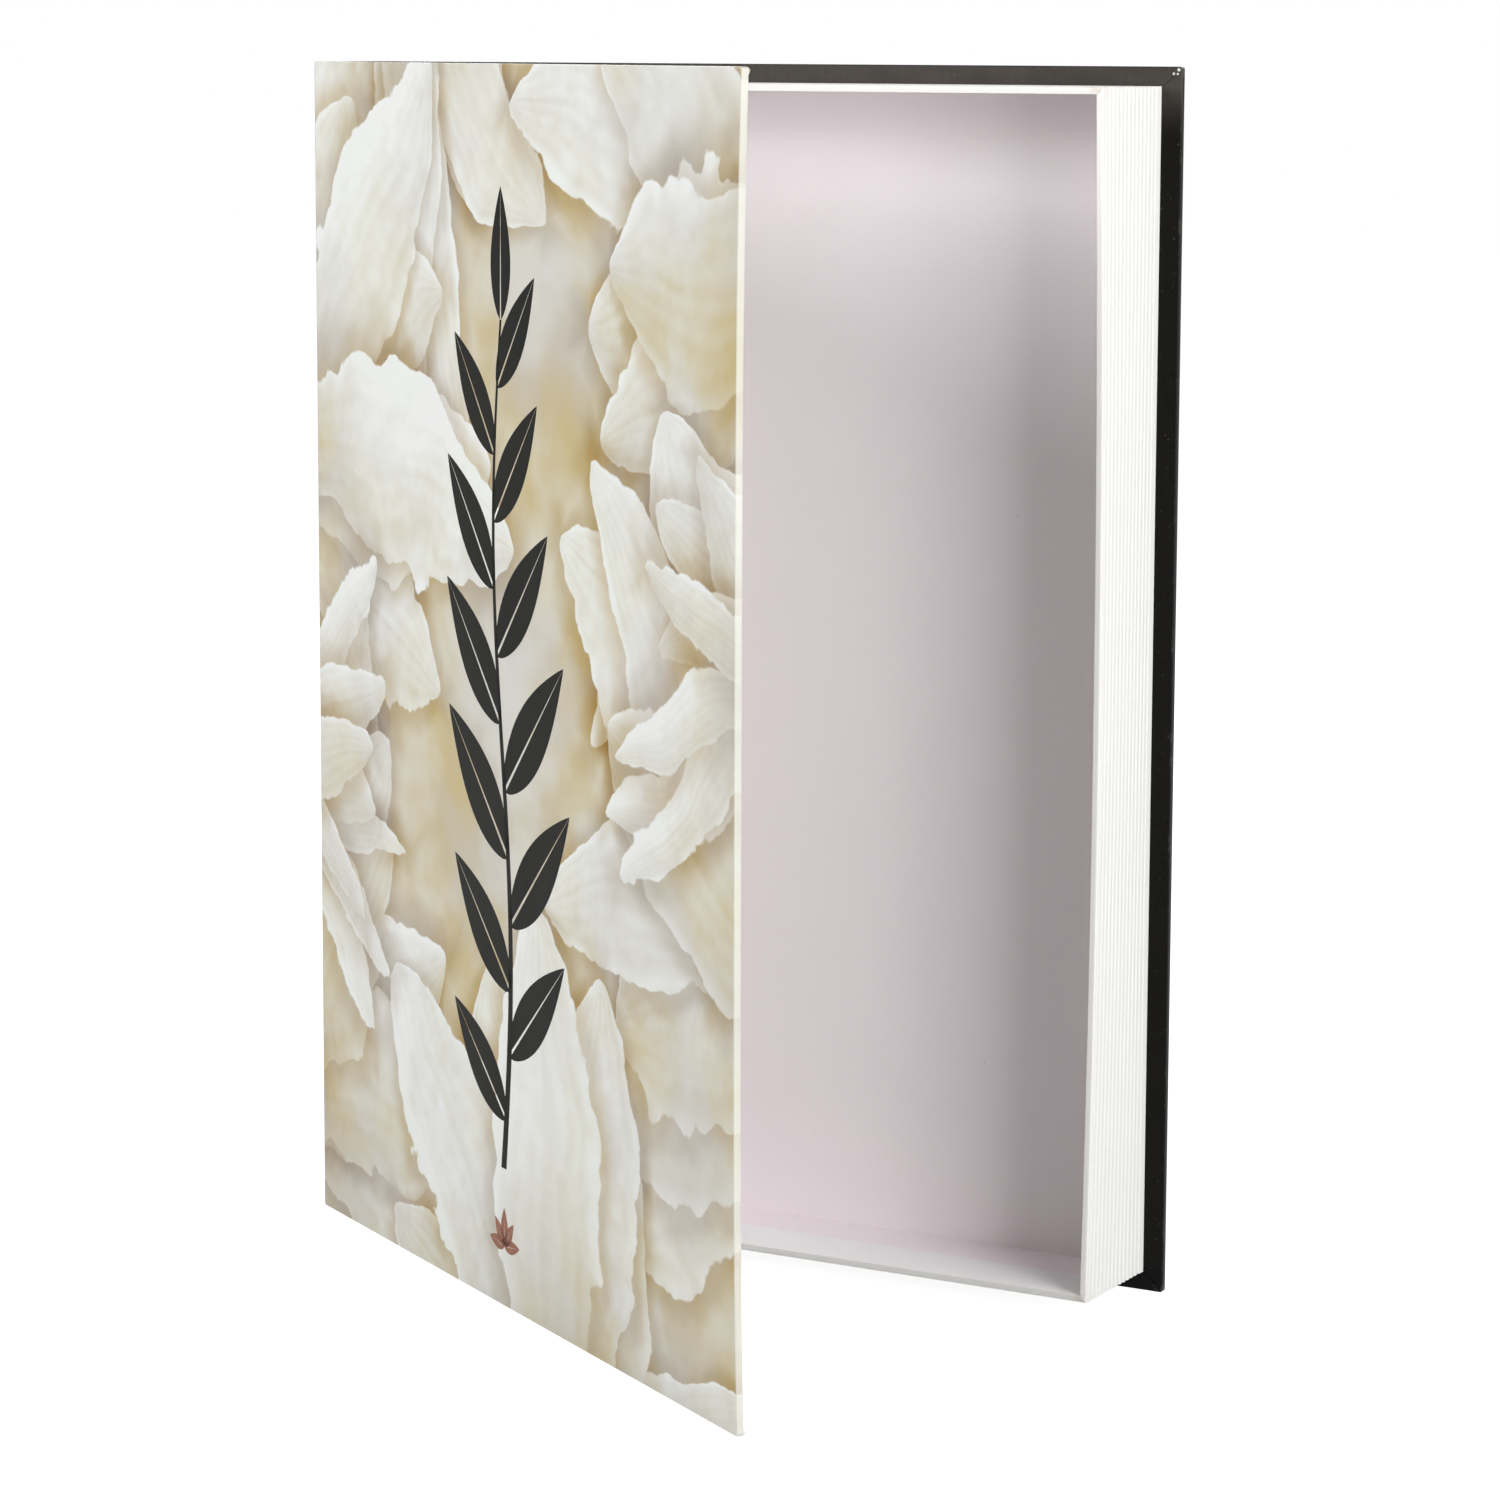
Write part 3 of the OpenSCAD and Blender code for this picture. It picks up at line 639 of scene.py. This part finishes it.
def uncoated_paper(name, colour):
    """Uncoated paper with a soft tooth and a few specks."""
    material, g, shader = new_material(name, roughness=0.88, Specular_IOR_Level=0.25)
    place = object_place(g)
    tooth = fibres(g, place, 0.5 * MM, 0.07)
    specks = g.step(g.noise(place, 240.0, 1.0), 0.815, 0.85)
    tint = g.mix(g.mul(specks, 0.35), shaded(g, colour, tooth["Shade"]), PAPER_SPECK)
    wire(g, shader, tint, tooth["Height"], 0.25, 0.06 * MM)
    return material


def lining_paper(name):
    """White lining paper of the front cover and the joint."""
    return uncoated_paper(name, bpy.context.scene.book_box_colours.lining)


def floor_paper(name):
    """Lilac-tinted sheet on the tray's floor."""
    return uncoated_paper(name, bpy.context.scene.book_box_colours.lilac)


def greyboard(name):
    """Millboard of the case and the tray: coarse grey-brown pulp with darker flecks."""
    tones = bpy.context.scene.book_box_colours
    material, g, shader = new_material(name, roughness=0.93, Specular_IOR_Level=0.2)
    place = object_place(g)
    tooth = fibres(g, place, 1.1 * MM, 0.5)
    flecks = g.step(g.noise(place, 420.0, 2.0), 0.62, 0.70)
    pulp = shaded(g, tones.greyboard, tooth["Shade"])
    colour = g.mix(g.mul(flecks, 0.5), pulp, BOARD_FLECK)
    wire(g, shader, colour, tooth["Height"], 0.5, 0.2 * MM)
    return material


def kraft_tape(name):
    """Brown paper tape with long fibres."""
    tones = bpy.context.scene.book_box_colours
    material, g, shader = new_material(name, roughness=0.8, Specular_IOR_Level=0.3)
    tooth = fibres(g, object_place(g), 0.7 * MM, 0.35)
    wire(g, shader, shaded(g, tones.kraft, tooth["Shade"]), tooth["Height"], 0.35, 0.1 * MM)
    return material


def printing_ink(name, colour):
    """Ink under the gloss film, uneven by a few parts in a hundred."""
    material, g, shader = new_material(name, Specular_IOR_Level=0.04)
    place = cover_place(g)
    skin = film(g, place, COVER_GLOSS)
    shade = g.mad(g.noise(place, 240.0, 3.0), 0.5, 0.75)
    wire(g, shader, shaded(g, colour, shade), skin["Height"], 0.12, 0.08 * MM, skin["Roughness"])
    return material


def dress(material, *nodes):
    """Gives CAD nodes their material."""
    for node in nodes:
        slots = frame["nodes"][node].data.materials
        slots.clear()
        slots.append(material)


def finished(bm, name, material, body):
    """Makes a bmesh into a piece that rides on a body, with smooth faces and sharp folds."""
    for face in bm.faces:
        face.smooth = True
    for edge in bm.edges:
        edge.smooth = edge.calc_face_angle(0.0) < SHARP
    mesh = bpy.data.meshes.new(name)
    bm.to_mesh(mesh)
    bm.free()
    mesh.materials.append(material)
    piece = bpy.data.objects.new(name, mesh)
    bpy.context.scene.collection.objects.link(piece)
    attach(piece, body)
    return piece


def welded(node):
    """A copy of a CAD node's mesh with its triangles joined into flat faces."""
    bm = bmesh.new()
    bm.from_mesh(frame["nodes"][node].data)
    bmesh.ops.remove_doubles(bm, verts=bm.verts, dist=WELD)
    bmesh.ops.dissolve_limit(bm, angle_limit=math.radians(0.1), verts=bm.verts, edges=bm.edges)
    return bm


def bow_wall(bm, bow, steps):
    """Cuts a mesh across its height and bows its fore-edge wall outwards, most at the rim's middle."""
    low, high = TRAY_LOW.z, TRAY_HIGH.z
    middle, reach = (low + high) / 2, (high - low) / 2
    for k in range(1, steps):
        geometry = bm.verts[:] + bm.edges[:] + bm.faces[:]
        level = low + (high - low) * k / steps
        bmesh.ops.bisect_plane(bm, geom=geometry, dist=WELD, plane_co=(0, 0, level), plane_no=(0, 0, 1))
    inner_x = WALL_LOW.x - 2 * PAPER_T    # the papers inside the wall bow with it
    for vertex in bm.verts:
        if vertex.co.x > inner_x:
            depth = (FLOOR_LOW.y - vertex.co.y) / (FLOOR_LOW.y - TRAY_LOW.y)
            depth = min(max(depth, 0.0), 1.0)
            share = max(1 - ((vertex.co.z - middle) / reach) ** 2, 0.0)
            vertex.co.x += bow * share * depth


def warp_cover(bm, sizes):
    """Cuts a mesh of the front cover both ways and bows its fore edge outwards."""
    bmesh.ops.transform(bm, matrix=cover_matrix().inverted(), verts=bm.verts)
    for axis, size, cuts in ((2, BOOK_H, sizes.warp_steps), (0, BOOK_W, sizes.warp_steps // 2)):
        normal = Vector((0, 0, 0))
        normal[axis] = 1
        for k in range(1, cuts):
            geometry = bm.verts[:] + bm.edges[:] + bm.faces[:]
            bmesh.ops.bisect_plane(bm, geom=geometry, dist=WELD, plane_co=normal * size * k / cuts,
                                   plane_no=normal)
    for vertex in bm.verts:
        vertex.co.y -= cover_shift(sizes, vertex.co.x, vertex.co.z)
    bmesh.ops.transform(bm, matrix=cover_matrix(), verts=bm.verts)


class BOOKBOX_OT_boards(Operator):
    """Finish the greyboards and the tape on the tray's corners"""
    bl_idname = "bookbox.boards"
    bl_label = "Boards and Tape"

    def execute(self, context):
        board = stock("Greyboard", greyboard)
        dress(board, "back_board", "spine_board")
        dress(board, "tray_floor", "tray_head_wall", "tray_tail_wall", "tray_spine_wall")
        stays = [f"corner_stay_{end}_{side}" for end in ("head", "tail") for side in ("spine", "fore")]
        dress(stock("KraftTape", kraft_tape), *stays)
        return {"FINISHED"}


class BOOKBOX_OT_case_papers(Operator):
    """Finish the black covering papers of the spine and the back cover"""
    bl_idname = "bookbox.case_papers"
    bl_label = "Black Covering Papers"

    def execute(self, context):
        film_black = stock("BlackLaminate", black_laminate)
        dress(film_black, "back_wrap", "back_joint_strip", "spine_wrap", "front_joint_strip")
        return {"FINISHED"}


class BOOKBOX_OT_joint_lining(Operator):
    """Finish the lining paper inside the joint"""
    bl_idname = "bookbox.joint_lining"
    bl_label = "Joint Lining"

    def execute(self, context):
        dress(stock("LiningPaper", lining_paper), "joint_lining")
        return {"FINISHED"}


class BOOKBOX_OT_front_cover(Operator):
    """Make the front cover's board, printed paper and lining with their slight warp"""
    bl_idname = "bookbox.front_cover"
    bl_label = "Front Cover"

    def execute(self, context):
        sizes = context.scene.book_box_sizes
        board = stock("Greyboard", greyboard)
        picture = stock("PrintLaminate", print_laminate)
        lining = stock("LiningPaper", lining_paper)
        for node, name, material, slot in (
                ("front_board", "warped_board", board, "greyboard"),
                ("front_wrap", "warped_print", picture, "printed_laminate"),
                ("front_lining", "warped_lining", lining, "lining_paper")):
            bm = welded(node)
            warp_cover(bm, sizes)
            piece = finished(bm, name, material, "cover")
            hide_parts(node)
        return {"FINISHED"}


class BOOKBOX_OT_tray(Operator):
    """Make the tray's page-edge paper, floor sheet and fore-edge wall with their slight bow"""
    bl_idname = "bookbox.tray"
    bl_label = "Page-edge Tray"

    def execute(self, context):
        sizes = context.scene.book_box_sizes
        paper = stock("PageEdgePaper", page_edge_paper)
        sheet = stock("FloorPaper", floor_paper)
        board = stock("Greyboard", greyboard)
        dress(paper, "spine_side_wrap")
        for node, name, material, slot in (
                ("page_edge_wrap", "page_edge_paper", paper, "page_edge_paper"),
                ("floor_liner", "bowed_floor_liner", sheet, "lining_paper"),
                ("tray_fore_edge_wall", "bowed_fore_edge_board", board, "greyboard")):
            bm = welded(node)
            bow_wall(bm, sizes.bow, sizes.bow_steps)
            piece = finished(bm, name, material, "box")
            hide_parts(node)
        return {"FINISHED"}


def printed_leaf(bm, root, angle, length, width):
    """A printed leaf, flat: two halves with a pale midrib between them that closes towards the tip."""
    turn = Matrix.Rotation(angle, 2)
    for side in (1, -1):
        made = bmesh.ops.create_grid(bm, x_segments=26, y_segments=1, size=0.5)
        for vertex in made["verts"]:
            share = vertex.co.x + 0.5
            swell = math.sin(math.pi * share ** 0.8) ** 0.9 if 0 < share < 1 else 0.0
            rib = LEAF_MIDRIB * length * (1.05 - share)
            across = side * (rib + (vertex.co.y + 0.5) * width * swell)
            point = turn @ Vector((share * length, across))
            vertex.co = Vector((root[0] + point.x, 0.0, root[1] + point.y))


def stem_u(share):
    """Where the sprig's stem stands across the cover, at a share of its height."""
    return STEM_U + STEM_SWAY * math.sin(2 * math.pi * share)


def printed_stem(bm, low, high):
    """The printed stem, flat, along its curve, thinner towards the head."""
    made = bmesh.ops.create_grid(bm, x_segments=60, y_segments=1, size=0.5)
    for vertex in made["verts"]:
        share = vertex.co.x + 0.5
        thick = STEM_THICK[0] + (STEM_THICK[1] - STEM_THICK[0]) * share
        vertex.co = Vector((stem_u(share) + vertex.co.y * thick, 0, low + (high - low) * share))


def lay_print(bm, sizes):
    """Gives flat printed shapes their film's thickness and lays them on the warped front cover."""
    thickness = sizes.ink_t
    bmesh.ops.remove_doubles(bm, verts=bm.verts, dist=WELD)
    bmesh.ops.dissolve_degenerate(bm, dist=WELD, edges=bm.edges)
    made = bmesh.ops.extrude_face_region(bm, geom=bm.faces[:])
    moved = [v for v in made["geom"] if isinstance(v, bmesh.types.BMVert)]
    bmesh.ops.translate(bm, verts=moved, vec=(0, -thickness, 0))
    bmesh.ops.translate(bm, verts=bm.verts, vec=(0, -thickness / 2, 0))
    bmesh.ops.recalc_face_normals(bm, faces=bm.faces)
    for vertex in bm.verts:
        vertex.co.y -= cover_shift(sizes, vertex.co.x, vertex.co.z)
    bmesh.ops.transform(bm, matrix=cover_matrix(), verts=bm.verts)


class BOOKBOX_OT_sprig(Operator):
    """Print the dark leafy sprig and the small mark under it on the front cover"""
    bl_idname = "bookbox.sprig"
    bl_label = "Printed Sprig"

    def execute(self, context):
        sizes = context.scene.book_box_sizes
        tones = context.scene.book_box_colours
        low, high = SPRIG_FOOT * BOOK_H, SPRIG_HEAD * BOOK_H
        bm = bmesh.new()
        printed_stem(bm, low, high)
        # Leaves on alternate sides, longest below the middle and closer to the stem towards the tip
        for k in range(sizes.leaf_count):
            share = FIRST_LEAF + (1 - FIRST_LEAF) * k / (sizes.leaf_count - 1)
            side = 1 if k % 2 else -1
            last = k == sizes.leaf_count - 1
            lean = 0.0 if last else side * math.radians(LEAN - LEAN_LESS * share)
            length = sizes.leaf_length * (1 - SHORTER * abs(share - LONGEST_LEAF) / (1 - LONGEST_LEAF))
            root = (stem_u(share), low + (high - low) * share)
            printed_leaf(bm, root, math.pi / 2 - lean, length, LEAF_WIDTH * length)
        lay_print(bm, sizes)
        finished(bm, "printed_sprig", printing_ink("SprigInk", tones.ink), "cover")

        bm = bmesh.new()
        foot = (STEM_U, MARK_FOOT * BOOK_H)
        for degrees in (UPRIGHT, *SIDE_LEAVES):
            length = MARK_LEAF * (1.0 if degrees == UPRIGHT else MARK_SIDE_LEAF)
            printed_leaf(bm, foot, math.radians(degrees), length, MARK_LEAF_WIDTH * length)
        lay_print(bm, sizes)
        finished(bm, "printed_mark", printing_ink("MarkInk", tones.russet), "cover")
        return {"FINISHED"}


# The photograph's camera, in the row frame: place in metres, turn in degrees, and the picture's own values
CAMERA_PLACE = (0.6274, -1.1069, 0.3444)
CAMERA_YAW, CAMERA_PITCH, CAMERA_ROLL = -29.223, 7.601, 0.283
PICTURE_PX = 1500
FOCAL_PX = 4448.5
AXIS_PX = (791.7, 641.9)
SENSOR_MM = 36


def make_camera():
    """The camera at the photograph's place, with its framing."""
    data = bpy.data.cameras.new("Camera")
    data.sensor_width = SENSOR_MM
    data.lens = FOCAL_PX / PICTURE_PX * SENSOR_MM
    data.shift_x = (PICTURE_PX / 2 - AXIS_PX[0]) / PICTURE_PX
    data.shift_y = (AXIS_PX[1] - PICTURE_PX / 2) / PICTURE_PX
    data.clip_start, data.clip_end = 0.05, 60
    camera = bpy.data.objects.new("Camera", data)
    bpy.context.scene.collection.objects.link(camera)
    camera.location = CAMERA_PLACE
    yaw = Matrix.Rotation(math.radians(-CAMERA_YAW), 3, "Z")
    pitch = Matrix.Rotation(math.radians(90 - CAMERA_PITCH), 3, "X")
    roll = Matrix.Rotation(math.radians(CAMERA_ROLL), 3, "Z")
    camera.rotation_euler = (yaw @ pitch @ roll).to_euler()
    bpy.context.scene.camera = camera


# Soft boxes round the object: name, turn from the front towards the right, height angle, watts
SOFT_BOXES = [
    ("KeyRight", 60, 5, 7.4),
    ("RimRight", 75, 5, 6.3),
    ("MidRight", 60, 30, 2.4),
    ("HighRight", 75, 55, 6.7),
    ("FillLeft", -30, 30, 8.5),
    ("LowLeft", -45, 15, 5.7),
    ("LowFront", -15, 10, 1.5),
    ("BackLeft", -140, 30, 4.8),
    ("BackRight", 180, 30, 4.8),
]
SOFT_BOX_SIDE = 0.55
SOFT_BOX_REACH = 1.5
LIGHT_MIDDLE = Vector((0, -60 * MM, BOOK_H / 2))
ROOM_LEVEL = 0.05      # share of the light that comes evenly from all round
FLOOR_LEVEL = 0.9      # how bright the floor shows by itself
FLOOR_HALF = 6


def make_lights():
    """Square soft boxes, all at one distance and turned to the middle of the open box."""
    for name, turn, rise, power in SOFT_BOXES:
        data = bpy.data.lights.new(name, "AREA")
        data.shape = "SQUARE"
        data.size = SOFT_BOX_SIDE
        data.energy = power
        aim = Euler((math.radians(90 - rise), 0, math.radians(turn)))
        lamp = bpy.data.objects.new(name, data)
        lamp.rotation_euler = aim
        lamp.location = LIGHT_MIDDLE + aim.to_matrix() @ Vector((0, 0, SOFT_BOX_REACH))
        bpy.context.scene.collection.objects.link(lamp)


def shown(g):
    """1 on what the camera sees directly, in a reflection or through glass, 0 for the light that falls."""
    path = g.put("ShaderNodeLightPath", {}).node
    seen = g.math("MAXIMUM", path.outputs["Is Camera Ray"], path.outputs["Is Glossy Ray"])
    return g.math("MAXIMUM", seen, path.outputs["Is Transmission Ray"])


def make_world():
    """A pale room: it lights the object softly, and shows white to the camera and in reflections."""
    world = bpy.data.worlds.new("Studio")
    bpy.context.scene.world = world
    world.use_nodes = True
    g = Graph(world.node_tree)
    background = world.node_tree.nodes["Background"]
    level = g.mad(shown(g), 1.0 - ROOM_LEVEL, ROOM_LEVEL)
    background.inputs["Color"].default_value = (1, 1, 1, 1)
    world.node_tree.links.new(level, background.inputs["Strength"])


def make_floor():
    """A pale floor that shows white to the camera and still keeps the object's shadow."""
    bm = bmesh.new()
    bmesh.ops.create_grid(bm, x_segments=1, y_segments=1, size=FLOOR_HALF)
    mesh = bpy.data.meshes.new("Floor")
    bm.to_mesh(mesh)
    bm.free()
    floor = bpy.data.objects.new("Floor", mesh)
    bpy.context.scene.collection.objects.link(floor)
    material, g, shader = new_material("StudioFloor", roughness=0.9, Specular_IOR_Level=0.0,
                                       Emission_Color=(1, 1, 1, 1), Base_Color=(0.5, 0.5, 0.5, 1))
    away = g.put("ShaderNodeVectorMath", {0: object_place(g)}, out="Value", operation="LENGTH")
    level = g.step(away, 0.35, 1.0, FLOOR_LEVEL, 1.0)
    material.node_tree.links.new(g.mul(shown(g), level), shader.inputs["Emission Strength"])
    mesh.materials.append(material)


class BOOKBOX_OT_stage(Operator):
    """Set the pale floor, the soft studio light and the photograph's camera"""
    bl_idname = "bookbox.stage"
    bl_label = "Stage"

    def execute(self, context):
        context.scene.view_settings.view_transform = "Standard"
        make_floor()
        make_world()
        make_lights()
        make_camera()
        return {"FINISHED"}


OPERATORS = (BOOKBOX_OT_boards, BOOKBOX_OT_case_papers, BOOKBOX_OT_joint_lining, BOOKBOX_OT_front_cover,
             BOOKBOX_OT_tray, BOOKBOX_OT_sprig, BOOKBOX_OT_stage)


class BOOKBOX_PT_sidebar(Panel):
    bl_label = "Book Box"
    bl_idname = "BOOKBOX_PT_sidebar"
    bl_space_type = "VIEW_3D"
    bl_region_type = "UI"
    bl_category = "Book Box"

    def draw(self, context):
        layout = self.layout
        for group in (context.scene.book_box_sizes, context.scene.book_box_colours):
            column = layout.column()
            for name in group.__annotations__:
                column.prop(group, name)
        for operator in OPERATORS:
            layout.operator(operator.bl_idname)


CLASSES = (BookBoxSizes, BookBoxColours, *OPERATORS, BOOKBOX_PT_sidebar)


def register():
    for cls in CLASSES:
        bpy.utils.register_class(cls)
    bpy.types.Scene.book_box_sizes = PointerProperty(type=BookBoxSizes)
    bpy.types.Scene.book_box_colours = PointerProperty(type=BookBoxColours)


def unregister():
    del bpy.types.Scene.book_box_colours
    del bpy.types.Scene.book_box_sizes
    for cls in reversed(CLASSES):
        bpy.utils.unregister_class(cls)


def main():
    register()
    bpy.ops.bookbox.boards()
    bpy.ops.bookbox.case_papers()
    bpy.ops.bookbox.joint_lining()
    bpy.ops.bookbox.front_cover()
    bpy.ops.bookbox.tray()
    bpy.ops.bookbox.sprig()
    bpy.ops.bookbox.stage()


if __name__ == "__main__":
    main()
